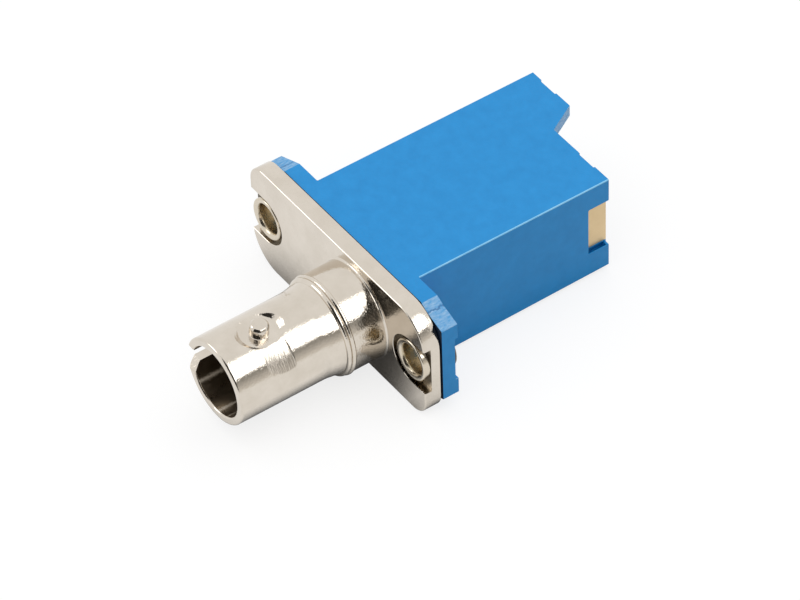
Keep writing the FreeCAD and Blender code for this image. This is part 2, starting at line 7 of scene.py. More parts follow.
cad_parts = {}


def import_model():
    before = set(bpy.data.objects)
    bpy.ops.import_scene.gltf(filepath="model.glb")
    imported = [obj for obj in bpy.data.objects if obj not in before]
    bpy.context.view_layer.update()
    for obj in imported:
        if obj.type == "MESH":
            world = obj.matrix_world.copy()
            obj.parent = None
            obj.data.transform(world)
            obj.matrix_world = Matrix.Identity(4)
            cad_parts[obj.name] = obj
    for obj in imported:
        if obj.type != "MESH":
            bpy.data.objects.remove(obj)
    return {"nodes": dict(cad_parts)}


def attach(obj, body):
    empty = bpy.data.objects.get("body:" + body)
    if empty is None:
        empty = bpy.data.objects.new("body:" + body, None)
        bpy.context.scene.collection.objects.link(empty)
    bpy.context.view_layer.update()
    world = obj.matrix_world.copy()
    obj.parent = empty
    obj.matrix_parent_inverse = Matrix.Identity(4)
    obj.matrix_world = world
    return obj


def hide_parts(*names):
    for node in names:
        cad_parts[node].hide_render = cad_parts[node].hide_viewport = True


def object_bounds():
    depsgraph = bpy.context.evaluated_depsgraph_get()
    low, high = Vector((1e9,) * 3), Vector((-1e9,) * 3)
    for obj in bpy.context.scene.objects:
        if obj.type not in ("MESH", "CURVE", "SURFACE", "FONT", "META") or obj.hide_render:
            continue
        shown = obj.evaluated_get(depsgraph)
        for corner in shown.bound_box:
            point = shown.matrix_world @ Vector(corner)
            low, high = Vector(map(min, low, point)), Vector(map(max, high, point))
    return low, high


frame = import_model()
cad_low, cad_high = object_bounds()

# Sizes are in millimetres, in the part's frame. Meshes are made in millimetres and scaled at the end.
MM = 0.001

# Metal plate, the gap behind it and the pockets for the eyelets
HOLE_X = 9.0
AXIS_X = 2.42
PLATE_END = 10.8
PLATE_TOP = 4.6
PLATE_REAR = -1.4
PLATE_FACE = -2.9
PLATE_ROUND = 0.12
REAR_ROUND = 0.07
REAR_STEP = 0.02
SHADOW_GAP = 0.09
SHADOW_DEPTH = 0.35
CORNER_LARGE = 3.0
CORNER_SMALL = 1.6
POCKET_RADIUS = 2.05
POCKET_DEPTH = 0.6
POCKET_EDGE = 0.03
POCKET_REACH = 2.2
# Painted shade on a pocket floor fades out between these distances from the hole
SHADE_START = 2.05
SHADE_END = 2.5

# Barrel, from its mouth to the flare at the plate
BARREL_MOUTH = -15.25
BARREL_RADIUS = 3.46
BARREL_SINK = 0.3
BORE_RADIUS = 2.8
BORE_END = -5.65
BORE_OVERRUN = 0.1
RIM_ROUND = 0.2
BORE_ROUND = 0.16
COLLAR_RADIUS = 3.9
FLARE_RADIUS = 4.08
FLARE_FILLET = 0.18
COLLAR_END = -5.6
BEAD_WIDTH = 0.35
BEAD_RIDGE = 0.33
BEAD_HEIGHT = 0.12
BEAD_CLIMB = 0.55
BEAD_END = COLLAR_END - 2 * BEAD_WIDTH
SWEEP_LENGTH = 1.3
SWEEP_RISE = 0.19
SWEEP_CURVE = 1.3
SWEEP_END = BEAD_END - SWEEP_LENGTH
CORE_RADIUS = 2.23
CLAMP_RADIUS = 3.57
CLAMP_FLOOR = -2.12
CLAMP_OVERRUN = 0.5

# The keyway and the lugs are turned about the barrel's axis, from +Z towards +X
KEY_TURN = math.radians(7.2)
KEYWAY_HALF = 0.75
KEYWAY_END = -12.65
KEYWAY_EDGE = 0.15
KEYWAY_LEAD_WIDTH = 0.8
KEYWAY_LEAD_DEPTH = 0.65
KEYWAY_OVERRUN = 0.2

# Lugs on their spot faces. Rounded corners are (across, up) steps from the sharp corner
LUG_Y = -11.48
LUG_RADIUS = 0.72
LUG_TOP = 4.02
LUG_CHAMFER = 0.18
LUG_FOOT = ((0.06, -0.1), (0.06, 0.0), (0.015, 0.02), (0.0, 0.07))
LUG_SHOULDER = ((0.0, -0.05), (-0.015, -0.01), (-0.04, 0.03))
LUG_CROWN = ((0.04, -0.03), (0.01, -0.01), (-0.04, 0.0))
SPOT_FLOOR = 3.12
SPOT_RADIUS = 1.49
SPOT_SLOPE = 0.68
SPOT_GROOVE = 0.022
SPOT_GROOVE_WIDTH = 0.06
SPOT_FLOOR_BLEND = 0.02
SPOT_EDGE_BLEND = 0.012

# Flat ground where the casting gate sat, deepest at GATE_SHIFT from its middle towards the plate
GATE_Y = -11.34
GATE_ANGLE = 39.7
GATE_SPAN = 25
GATE_HALF = 1.01
GATE_EDGE = 0.15
GATE_DEPTH = 0.145
GATE_CURVE = 7.0
GATE_BOW = 0.045
GATE_SHIFT = 0.35
GATE_SLOPE = 1.1
GATE_BLEND = 0.02
GATE_START = 0.003
GATE_FULL = 0.035

# Blue flange, with one corner scraped
SEAT_END = 10.9
SEAT_TOP = 4.4
SEAT_RUN = 2.4
SEAT_DROP = 1.0
SEAT_THICK = 1.4
SCRAPE_X = 9.23
SCRAPE_Z = 3.98

# Eyelets, with their corners as (radius, y) steps
HEAD_RADIUS = 1.8
HEAD_FLOOR = 0.25
HEAD_SINK = 0.03
HEAD_POCKET = 2.0
HEAD_MOUTH = ((0.0, -0.12), (0.03, -0.04), (0.1, 0.0))
HEAD_EDGE = ((-0.07, 0.0), (-0.02, -0.03), (0.0, -0.09))
SHANK_RADIUS = 1.5
SHANK_HOLE = 1.52
EYELET_BORE = 1.2
EYELET_RIM = 1.72
EYELET_SINK = 0.05
EYELET_ROUND = 0.13
EYELET_FOOT = ((-0.02, 0.0), (0.0, -0.03))
EYELET_THROAT = ((0.26, 0.012), (0.16, 0.05), (0.07, 0.14), (0.02, 0.24), (0.0, 0.36))

# Blue box with the rectangular port and the seat of the latch plate
BOX_HALF = 6.3
BOX_MOUTH = 4.27
SHORT_SIDE = 16.92
LONG_SIDE = 19.42
TAB_WIDTH = 4.56
SLANT_RUN = 1.4
BULKHEAD = 1.0
PORT_SIDE = 5.2
PORT_TOP = 3.22
GUIDE_WIDTH = 1.8
GUIDE_DEPTH = 0.35
GUIDE_LENGTH = 9.0
GUIDE_INSET = 0.6
MOUTH_RELIEF = 0.12
LATCH_OUTER = 5.93
LATCH_INNER = 5.53
LATCH_HALF = 1.95
LATCH_LENGTH = 8.0
LATCH_GAP = 0.02
LIP_HALF = 1.6
NOTCH_HALF = 2.2
NOTCH_LENGTH = 1.85
NOTCH_CORNER = 0.1
UNDER_LOW = -2.75
UNDER_HIGH = -2.1
UNDER_WALL = 0.1
UNDER_END = 0.2
BOX_EDGE = 0.09
EDGE_START = 0.2
FINE_EDGE = 0.05

# Mesh making: overrun of cutting tools, finer rows near the lugs, limits for edges and corners,
# and BEYOND, a radius outside the whole casting
MARGIN = 1.0
BARREL_SEGMENTS = 320
LUG_SEGMENTS = 64
FINE_REACH = 2.2
LEAST_FACING = 0.3
SPOT_ROUNDS = 10
BEYOND = 9.0
TINY = 0.0005
SHARP_ANGLE = math.radians(28)
BEVEL_ANGLE = math.radians(25)
QUARTER = [math.radians(90 * step / 5) for step in range(6)]

# Choosing faces: how near a size counts as on it, and how far a normal is turned to an axis
NEAR = 0.02
EDGE_NEAR = 0.05
LOOSE = 0.1
ALONG = 0.9
HALFWAY = 0.5
TOWARDS = 0.3
LEANING = 0.2


# Mesh building

def add_object(name, points, faces):
    mesh = bpy.data.meshes.new(name)
    mesh.from_pydata([tuple(map(float, point)) for point in points], [], faces)
    mesh.validate()
    thing = bpy.data.objects.new(name, mesh)
    bpy.context.scene.collection.objects.link(thing)
    face_outwards(mesh)
    return thing


def face_outwards(mesh):
    shape = bmesh.new()
    shape.from_mesh(mesh)
    bmesh.ops.recalc_face_normals(shape, faces=shape.faces)
    shape.to_mesh(mesh)
    shape.free()


def rings(count, low, high):
    """Four-sided faces between two rings of points, given by their first points."""
    faces = []
    for column in range(count):
        following = (column + 1) % count
        faces.append((low + column, low + following, high + following, high + column))
    return faces


def stack(name, loops):
    """Closed solid through loops of equal length, capped at both ends."""
    count = len(loops[0])
    points = [point for loop in loops for point in loop]
    faces = []
    for row in range(len(loops) - 1):
        faces += rings(count, row * count, (row + 1) * count)
    faces.append(tuple(range(count)))
    faces.append(tuple(range(len(points) - count, len(points))))
    return add_object(name, points, faces)


def revolve(name, profile, x, segments=96, closed=False):
    """Solid of revolution about a line along Y; the profile holds (radius, y), closed or capped."""
    count = len(profile)
    angles = [2 * math.pi * index / segments for index in range(segments)]
    points = [
        (x + radius * math.cos(angle), y, radius * math.sin(angle))
        for radius, y in profile for angle in angles
    ]
    faces = []
    for row in range(count if closed else count - 1):
        faces += rings(segments, row * segments, (row + 1) % count * segments)
    if not closed:
        faces.append(tuple(range(segments)))
        faces.append(tuple(range((count - 1) * segments, count * segments)))
    return add_object(name, points, faces)


def arc(centre, radius, first, last, steps):
    """Points on a circle from one angle to another, in degrees."""
    angles = [math.radians(first + (last - first) * step / steps) for step in range(steps + 1)]
    return [(centre[0] + radius * math.cos(a), centre[1] + radius * math.sin(a)) for a in angles]


def around(corner, steps):
    """Points of a rounded corner, given as steps from the sharp one."""
    return [(corner[0] + first, corner[1] + second) for first, second in steps]


def slab(name, outline, levels):
    """Solid whose outline, a function of an inset, is stacked along Y through (y, inset) levels."""
    return stack(name, [[(x, y, z) for x, z in outline(inset)] for y, inset in levels])


def combine(target, tool, operation):
    modifier = target.modifiers.new("combine", "BOOLEAN")
    modifier.operation = operation
    modifier.solver = "EXACT"
    modifier.object = tool
    settle(target)
    bpy.data.objects.remove(tool)


def cut_block(target, low, high):
    corners = [(low[0], low[2]), (high[0], low[2]), (high[0], high[2]), (low[0], high[2])]
    loops = [[(x, y, z) for x, z in corners] for y in (low[1], high[1])]
    combine(target, stack("block", loops), "DIFFERENCE")


def cut_hole(target, radius, x, low, high):
    combine(target, revolve("hole", [(radius, low), (radius, high)], x), "DIFFERENCE")


def settle(thing):
    """Apply the object's modifiers to its mesh."""
    bpy.context.view_layer.update()
    evaluated = thing.evaluated_get(bpy.context.evaluated_depsgraph_get())
    mesh = bpy.data.meshes.new_from_object(evaluated)
    thing.modifiers.clear()
    thing.data = mesh


def soften(thing, weight_of, width, segments=2):
    """Bevel the sharp edges, each by the share of the width that its middle asks for."""
    shape = bmesh.new()
    shape.from_mesh(thing.data)
    bmesh.ops.remove_doubles(shape, verts=shape.verts, dist=TINY)
    bmesh.ops.dissolve_limit(shape, angle_limit=TINY, verts=shape.verts, edges=shape.edges)
    layer = shape.edges.layers.float.new("bevel_weight_edge")
    for edge in shape.edges:
        if len(edge.link_faces) == 2 and edge.calc_face_angle() > BEVEL_ANGLE:
            edge[layer] = weight_of((edge.verts[0].co + edge.verts[1].co) / 2)
    shape.to_mesh(thing.data)
    shape.free()
    modifier = thing.modifiers.new("soften", "BEVEL")
    modifier.limit_method = "WEIGHT"
    modifier.width = width
    modifier.segments = segments
    modifier.use_clamp_overlap = False
    modifier.miter_outer = "MITER_ARC"
    settle(thing)


def finish_piece(thing, slot, *nodes):
    """Scale to metres, shade smooth between sharp edges, and put the piece in place of its CAD nodes."""
    thing.data.transform(Matrix.Scale(MM, 4))
    mesh = thing.data
    mesh.shade_smooth()
    mesh.set_sharp_from_angle(angle=SHARP_ANGLE)
    modifier = thing.modifiers.new("even_normals", "WEIGHTED_NORMAL")
    modifier.keep_sharp = True
    modifier.weight = 60
    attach(thing, "root")
    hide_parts(*nodes)
    return thing


# Bayonet half

def plate_outline(inset):
    """Outline of the metal plate: rounder corners at upper right and lower left."""
    reach, rise = PLATE_END - inset, PLATE_TOP - inset
    large, small = CORNER_LARGE - inset, CORNER_SMALL - inset
    corners = ((1, 1, large, 0), (-1, 1, small, 90), (-1, -1, large, 180), (1, -1, small, 270))
    points = []
    for side_x, side_z, radius, start in corners:
        centre = (side_x * (reach - radius), side_z * (rise - radius))
        points += arc(centre, radius, start, start + 90, steps=20)
    return points


def pocket_outline(side, reach):
    """Pocket round a fixing hole: round on the inner side and open towards the plate's end."""
    def outline(inset):
        radius = reach - inset
        inner = arc((HOLE_X, 0), radius, 90, 270, steps=32)
        points = inner + [(SEAT_END + MARGIN, -radius), (SEAT_END + MARGIN, radius)]
        return [(side * x, z) for x, z in points]
    return outline


def bead(across):
    """Height of two ridges side by side, each a little narrower than its place."""
    place = across % BEAD_WIDTH - BEAD_WIDTH / 2
    return BEAD_HEIGHT * math.sqrt(max(0.0, 1 - (2 * place / BEAD_RIDGE) ** 2))


def concave(run, length, rise):
    """Rise of an arc that leaves the cylinder without a corner."""
    radius = (length ** 2 + rise ** 2) / (2 * rise)
    return radius - math.sqrt(max(0.0, radius ** 2 - run ** 2))


def barrel_profile(y):
    """Radius of the casting at a distance along its axis, before the cuts."""
    if y > PLATE_FACE:
        return FLARE_RADIUS
    if y > PLATE_FACE - FLARE_FILLET:
        run = y - PLATE_FACE + FLARE_FILLET
        return COLLAR_RADIUS + concave(run, FLARE_FILLET, FLARE_RADIUS - COLLAR_RADIUS)
    if y > COLLAR_END:
        return COLLAR_RADIUS
    if y > BEAD_END:
        low = BARREL_RADIUS + SWEEP_RISE
        share = (y - BEAD_END) / (2 * BEAD_WIDTH)
        return low + (COLLAR_RADIUS - low) * share ** BEAD_CLIMB + bead(y - BEAD_END)
    if y > SWEEP_END:
        return BARREL_RADIUS + SWEEP_RISE * ((y - SWEEP_END) / SWEEP_LENGTH) ** SWEEP_CURVE
    depth = y - BARREL_MOUTH
    if depth < RIM_ROUND:
        rise = math.sqrt(max(0.0, RIM_ROUND ** 2 - (RIM_ROUND - depth) ** 2))
        return BARREL_RADIUS - RIM_ROUND + rise
    return BARREL_RADIUS


def barrel_rows():
    """Distances along the barrel, close together where its form changes."""
    rim_end, fillet_start = BARREL_MOUTH + RIM_ROUND, PLATE_FACE - FLARE_FILLET
    fine_start, fine_end = LUG_Y - FINE_REACH, LUG_Y + FINE_REACH
    stepped = (
        (rim_end, fine_start, 0.12), (fine_start, fine_end, 0.05), (fine_end, SWEEP_END, 0.2),
    )
    counted = (
        (SWEEP_END, BEAD_END, 12), (BEAD_END, COLLAR_END, 40), (COLLAR_END, fillet_start, 8),
    )
    rows = list(np.linspace(BARREL_MOUTH, rim_end, 6, endpoint=False))
    for start, end, step in stepped:
        rows += list(np.arange(start, end, step))
    for start, end, count in counted:
        rows += list(np.linspace(start, end, count, endpoint=False))
    rows += list(PLATE_FACE - FLARE_FILLET * (1 - np.sin(np.linspace(0, math.pi / 2, 12))))
    return rows + [PLATE_FACE + BARREL_SINK]


def soft_least(a, b, blend):
    """The smaller of two values, with a smooth change from one to the other."""
    share = np.clip(0.5 + 0.5 * (b - a) / blend, 0, 1)
    return b * (1 - share) + a * share - blend * share * (1 - share)


def spot_face(radii, ys, turns, side):
    """Sink a flat floor round one lug, with a fine groove at its edge and a sloping wall."""
    turn = turns - side * math.radians(90) + KEY_TURN
    facing = np.maximum(np.cos(turn), LEAST_FACING)
    reach = radii.copy()
    for _ in range(SPOT_ROUNDS):
        across = np.hypot(ys - LUG_Y, reach * np.sin(turn))
        climb = -soft_least(SPOT_RADIUS - across, np.zeros_like(across), SPOT_FLOOR_BLEND)
        groove = SPOT_GROOVE * np.exp(-((across - SPOT_RADIUS) / SPOT_GROOVE_WIDTH) ** 2)
        reach = (SPOT_FLOOR + SPOT_SLOPE * climb - groove) / facing
    return soft_least(radii, reach, SPOT_EDGE_BLEND)


def ground_flat(radii, ys, turns):
    """Grind the nearly flat patch beside the upper lug, with a slope at its two ends."""
    turn = turns - math.radians(GATE_ANGLE)
    bow = GATE_BOW * ((ys - GATE_Y - GATE_SHIFT) / GATE_HALF) ** 2
    centre = BARREL_RADIUS - GATE_DEPTH - GATE_CURVE + bow
    spread = np.clip(GATE_CURVE ** 2 - (centre * np.sin(turn)) ** 2, 1, None)
    patch = centre * np.cos(turn) + np.sqrt(spread)
    patch = np.where(np.cos(turn) > LEAST_FACING, patch, BEYOND)
    overrun = np.maximum(np.abs(ys - GATE_Y) - GATE_HALF, 0)
    return soft_least(radii, patch + overrun * GATE_SLOPE, GATE_BLEND)


def cast_barrel():
    rows = np.array(barrel_rows())
    angles = np.arange(BARREL_SEGMENTS) * 2 * math.pi / BARREL_SEGMENTS
    radii = np.array([barrel_profile(y) for y in rows])[:, None] * np.ones((1, BARREL_SEGMENTS))
    ys = rows[:, None] * np.ones((1, BARREL_SEGMENTS))
    turns = angles[None, :] * np.ones((len(rows), 1))
    for side in (1, -1):
        radii = spot_face(radii, ys, turns, side)
    radii = ground_flat(radii, ys, turns)
    xs = AXIS_X + radii * np.cos(turns)
    zs = radii * np.sin(turns)
    return stack("barrel", [list(zip(xs[row], ys[row], zs[row])) for row in range(len(rows))])


def lug(side):
    profile = around((LUG_RADIUS, SPOT_FLOOR), LUG_FOOT)
    profile += around((LUG_RADIUS, LUG_TOP - LUG_CHAMFER), LUG_SHOULDER)
    profile += around((LUG_RADIUS - LUG_CHAMFER, LUG_TOP), LUG_CROWN)
    loops = []
    for radius, height in profile:
        loop = []
        for index in range(LUG_SEGMENTS):
            angle = 2 * math.pi * index / LUG_SEGMENTS
            across, along = radius * math.cos(angle), radius * math.sin(angle)
            x = across * math.cos(KEY_TURN) + height * math.sin(KEY_TURN)
            z = height * math.cos(KEY_TURN) - across * math.sin(KEY_TURN)
            loop.append((AXIS_X + side * x, LUG_Y + along, side * z))
        loops.append(loop)
    return stack("lug", loops)


def keyway_tool():
    """Slot through the wall, with a wide lead-in at its lower side."""
    half, mouth = KEYWAY_HALF, BARREL_MOUTH
    high, low = half + KEYWAY_EDGE, half + KEYWAY_LEAD_WIDTH
    outline = [
        (KEYWAY_END, -half), (KEYWAY_END, half), (mouth + KEYWAY_EDGE, half), (mouth, high),
        (mouth - KEYWAY_OVERRUN, high), (mouth - KEYWAY_OVERRUN, -low), (mouth, -low),
        (mouth + KEYWAY_LEAD_DEPTH, -half),
    ]
    sine, cosine = math.sin(KEY_TURN), math.cos(KEY_TURN)
    loops = []
    for reach in (BORE_RADIUS / 2, BARREL_RADIUS + MARGIN):
        loops.append([
            (AXIS_X - reach * cosine + across * sine, y, reach * sine + across * cosine)
            for y, across in outline
        ])
    return stack("keyway", loops)


def bore_profile():
    rim = [
        (BORE_RADIUS + BORE_ROUND * (1 - math.sin(a)), BARREL_MOUTH + BORE_ROUND * (1 - math.cos(a)))
        for a in QUARTER
    ]
    return [
        (BORE_RADIUS + BORE_ROUND + BORE_OVERRUN, BARREL_MOUTH - BORE_OVERRUN), *rim,
        (BORE_RADIUS, BORE_END), (CORE_RADIUS, BORE_END), (CORE_RADIUS, CLAMP_FLOOR),
        (CLAMP_RADIUS, CLAMP_FLOOR), (CLAMP_RADIUS, PLATE_REAR + CLAMP_OVERRUN),
    ]


def make_bayonet_body():
    lip = PLATE_REAR - SHADOW_GAP
    levels = [
        (PLATE_REAR, SHADOW_DEPTH), (lip, SHADOW_DEPTH), (lip, REAR_ROUND),
        (lip - REAR_STEP, REAR_STEP), (lip - REAR_ROUND, 0.0),
    ]
    levels += [
        (PLATE_FACE + PLATE_ROUND * (1 - math.sin(a)), PLATE_ROUND * (1 - math.cos(a)))
        for a in QUARTER
    ]
    body = slab("bayonet_body_cast", plate_outline, levels)
    combine(body, cast_barrel(), "UNION")
    for side in (1, -1):
        combine(body, lug(side), "UNION")
        pocket = slab("pocket", pocket_outline(side, POCKET_RADIUS), [
            (PLATE_FACE + POCKET_DEPTH, 0.0), (PLATE_FACE + POCKET_EDGE, 0.0),
            (PLATE_FACE, -POCKET_EDGE), (PLATE_FACE - MARGIN, -POCKET_EDGE),
        ])
        combine(body, pocket, "DIFFERENCE")
        cut_hole(body, SHANK_HOLE, side * HOLE_X, PLATE_FACE - MARGIN, PLATE_REAR + MARGIN)
    combine(body, revolve("bore", bore_profile(), AXIS_X, segments=160), "DIFFERENCE")
    combine(body, keyway_tool(), "DIFFERENCE")
    return finish_piece(body, "nickel_casting", "bayonet_body")


# Rectangular half

def seat_outline(inset):
    """Outline of the blue flange, with one corner scraped into two flats."""
    reach, rise = SEAT_END - inset, SEAT_TOP - inset
    side, top = reach - SEAT_RUN, rise - SEAT_DROP
    lower = [(-reach, -top), (-side, -rise), (side, -rise), (reach, -top)]
    upper = [(reach, top), (SCRAPE_X, SCRAPE_Z), (side, rise), (-side, rise), (-reach, top)]
    return lower + upper


def box_solid():
    """Box from the flange to its mouth, a little lower at the mouth, with the long tab on its left."""
    tab = TAB_WIDTH - BOX_HALF
    outline = [
        (-BOX_HALF, -SEAT_THICK / 2), (BOX_HALF, -SEAT_THICK / 2), (BOX_HALF, 0.0),
        (BOX_HALF, SHORT_SIDE), (tab + SLANT_RUN, SHORT_SIDE), (tab, LONG_SIDE),
        (-BOX_HALF, LONG_SIDE), (-BOX_HALF, 0.0),
    ]
    drop = (SEAT_TOP - BOX_MOUTH) / LONG_SIDE
    return stack("box", [
        [(x, y, side * (SEAT_TOP - drop * max(y, 0.0))) for x, y in outline] for side in (-1, 1)
    ])


def notch_tool():
    """Notch in the side wall at the mouth, with rounded corners."""
    foot = SHORT_SIDE - NOTCH_LENGTH
    high = NOTCH_HALF - NOTCH_CORNER
    outline = [(SHORT_SIDE + MARGIN, -NOTCH_HALF), (SHORT_SIDE + MARGIN, NOTCH_HALF)]
    for side, start in ((1, 90), (-1, 180)):
        centre = (foot + NOTCH_CORNER, side * high)
        outline += arc(centre, NOTCH_CORNER, start, start + 90, steps=5)
    return stack("notch", [[(x, y, z) for y, z in outline] for x in (LATCH_OUTER, BOX_HALF + MARGIN)])


def edge_share(middle):
    """Share of the bevel's width: all of it on the box's long edges, less on the others."""
    beside = abs(abs(middle.x) - BOX_HALF) < EDGE_NEAR
    long_edge = middle.y > BULKHEAD and beside and abs(middle.z) > BOX_MOUTH - LOOSE
    return 1.0 if long_edge else FINE_EDGE / BOX_EDGE


def make_housing():
    body = slab("housing_moulding", seat_outline, [(-SEAT_THICK, 0.0), (0.0, 0.0)])
    combine(body, box_solid(), "UNION")
    long_end, short_end = LONG_SIDE + MARGIN, SHORT_SIDE + MARGIN
    cut_block(body, (-PORT_SIDE, BULKHEAD, -PORT_TOP), (PORT_SIDE, long_end, PORT_TOP))
    # Guide grooves above and below, and the relief at the mouth of each
    guide, relief = PORT_TOP + GUIDE_DEPTH, SEAT_TOP + MARGIN
    right = PORT_SIDE - GUIDE_INSET - GUIDE_WIDTH
    for low_x, end in ((-PORT_SIDE, LONG_SIDE), (right, SHORT_SIDE)):
        high_x = low_x + GUIDE_WIDTH
        cut_block(body, (low_x, end - GUIDE_LENGTH, -guide), (high_x, end + MARGIN, guide))
        cut_block(body, (low_x, end - MOUTH_RELIEF, -relief), (high_x, end + MARGIN, relief))
    # Seat of the latch plate, the opening inside it, the notch and the narrow slot under its end
    start = SHORT_SIDE - LATCH_LENGTH - 2 * LATCH_GAP
    half = LATCH_HALF + LATCH_GAP
    inner, outer = LATCH_INNER - LATCH_GAP, LATCH_OUTER + LATCH_GAP
    cut_block(body, (inner, start, -half), (outer, short_end, half))
    cut_block(body, (PORT_SIDE - LATCH_GAP, start, -LIP_HALF), (LATCH_INNER, short_end, LIP_HALF))
    combine(body, notch_tool(), "DIFFERENCE")
    low = (LATCH_INNER, SHORT_SIDE - NOTCH_LENGTH, UNDER_LOW)
    cut_block(body, low, (BOX_HALF - UNDER_WALL, SHORT_SIDE - UNDER_END, UNDER_HIGH))
    for side in (1, -1):
        head = slab("head", pocket_outline(side, HEAD_POCKET), [(-HEAD_FLOOR, 0.0), (MARGIN, 0.0)])
        combine(body, head, "DIFFERENCE")
        cut_hole(body, SHANK_HOLE, side * HOLE_X, -SEAT_THICK - MARGIN, MARGIN)
    cut_hole(body, CORE_RADIUS, AXIS_X, -SEAT_THICK - MARGIN, BULKHEAD + MARGIN)
    soften(body, edge_share, BOX_EDGE)
    return finish_piece(body, "blue_polymer", "housing")


# Eyelets

def make_eyelet(side, node):
    """Rivet with a rolled rim in front and a flat head behind."""
    front, pocket = PLATE_FACE + EYELET_SINK, PLATE_FACE + POCKET_DEPTH
    profile = [(SHANK_RADIUS, pocket)]
    profile += around((EYELET_RIM, pocket), EYELET_FOOT)
    roll = (EYELET_RIM - EYELET_ROUND, front + EYELET_ROUND)
    profile += arc(roll, EYELET_ROUND, 0, -90, steps=6)
    profile += around((EYELET_BORE, front), EYELET_THROAT)
    profile += around((EYELET_BORE, -HEAD_SINK), HEAD_MOUTH)
    profile += around((HEAD_RADIUS, -HEAD_SINK), HEAD_EDGE)
    profile += [(HEAD_RADIUS, -HEAD_FLOOR), (SHANK_RADIUS, -HEAD_FLOOR)]
    eyelet = revolve(f"eyelet_{node}_rolled", profile, side * HOLE_X, closed=True)
    return finish_piece(eyelet, "eyelet_metal", f"eyelet_{node}")


# Materials

# Noise as (scale per mm, detail, roughness)
BLOTCHES = (0.6, 4.0, 0.6)
POLISH = (1.7, 5.0, 0.65)
CLOUDS = (0.9, 5.0, 0.65)
GRAIN = (3.0, 4.0, 0.6)
METALLIC = {"Metallic": 1.0}


def add_node(tree, kind, values=None, links=None, **settings):
    made = tree.nodes.new(kind)
    for name, value in settings.items():
        setattr(made, name, value)
    for name, value in (values or {}).items():
        made.inputs[name].default_value = value
    for name, source in (links or {}).items():
        tree.links.new(source, made.inputs[name])
    return made


class Graph:
    """Shader nodes of one material, with coordinates in millimetres."""

    def __init__(self, name):
        self.material = bpy.data.materials.new(name)
        self.material.use_nodes = True
        self.tree = self.material.node_tree
        self.tree.nodes.clear()
        self.output = self.node("ShaderNodeOutputMaterial")
        coordinates = self.node("ShaderNodeTexCoord").outputs["Object"]
        self.place = self.scaled(coordinates, (1000, 1000, 1000))

    def node(self, kind, values=None, links=None, **settings):
        return add_node(self.tree, kind, values, links, **settings)

    def scaled(self, place, scale):
        mapping = self.node("ShaderNodeMapping", {"Scale": scale}, {"Vector": place})
        return mapping.outputs["Vector"]

    def noise(self, scale, detail, roughness, stretch=None):
        place = self.scaled(self.place, stretch) if stretch else self.place
        values = {"Scale": scale, "Detail": detail, "Roughness": roughness}
        return self.node("ShaderNodeTexNoise", values, {"Vector": place}).outputs["Fac"]

    def spread(self, source, low, high, from_low=0.3, from_high=0.7):
        values = {"From Min": from_low, "From Max": from_high, "To Min": low, "To Max": high}
        return self.node("ShaderNodeMapRange", values, {"Value": source}).outputs["Result"]

    def mix(self, share, first, second):
        made = self.node("ShaderNodeMix", data_type="RGBA")
        colours = [item for item in made.inputs if item.type == "RGBA"]
        for socket, value in zip(colours, (first, second)):
            if isinstance(value, tuple):
                socket.default_value = (*value, 1.0)
            else:
                self.tree.links.new(value, socket)
        self.tree.links.new(share, [item for item in made.inputs if item.type == "VALUE"][0])
        return [item for item in made.outputs if item.type == "RGBA"][0]

    def shades(self, noise, base, shade):
        """Colour that noise changes between two shades."""
        return self.mix(self.spread(self.noise(*noise), 0.0, 1.0), base, shade)

    def bump(self, height, distance, normal=None):
        links = {"Height": height}
        if normal:
            links["Normal"] = normal
        return self.node("ShaderNodeBump", {"Distance": distance}, links).outputs["Normal"]

    def calculate(self, operation, *terms):
        """Result of a Math node on sockets and plain numbers."""
        numbers = {index: term for index, term in enumerate(terms) if isinstance(term, float)}
        sockets = {index: term for index, term in enumerate(terms) if index not in numbers}
        return self.node("ShaderNodeMath", numbers, sockets, operation=operation).outputs["Value"]

    def across_and_up(self):
        parts = self.node("ShaderNodeSeparateXYZ", links={"Vector": self.place})
        return parts.outputs["X"], parts.outputs["Z"]

    def length(self, across, up):
        """Distance from a line along Y."""
        offset = self.node("ShaderNodeCombineXYZ", links={"X": across, "Y": up}).outputs["Vector"]
        return self.node("ShaderNodeVectorMath", links={0: offset}, operation="LENGTH").outputs["Value"]

    def principled(self, colour, rough, normal, values=None, metallic=None):
        links = {"Base Color": colour, "Roughness": rough, "Normal": normal}
        if metallic:
            links["Metallic"] = metallic
        shader = self.node("ShaderNodeBsdfPrincipled", values, links)
        self.tree.links.new(shader.outputs["BSDF"], self.output.inputs["Surface"])
        return self.material


def metal(name, base, shade, roughness, bumps):
    """Metal with blotches of a second shade, uneven polish and bumps of (noise scale per mm, height in m)."""
    graph = Graph(name)
    colour = graph.shades(BLOTCHES, base, shade)
    rough = graph.spread(graph.noise(*POLISH), *roughness)
    normal = None
    for scale, height in bumps:
        normal = graph.bump(graph.noise(scale, 2.0, 0.5), height, normal)
    return graph.principled(colour, rough, normal, METALLIC)


def polymer(name, base, shade, roughness, bump, specular):
    graph = Graph(name)
    colour = graph.shades(CLOUDS, base, shade)
    rough = graph.spread(graph.noise(*GRAIN), *roughness)
    normal = graph.bump(graph.noise(7.0, 3.0, 0.6), bump)
    return graph.principled(colour, rough, normal, {"Specular IOR Level": specular})


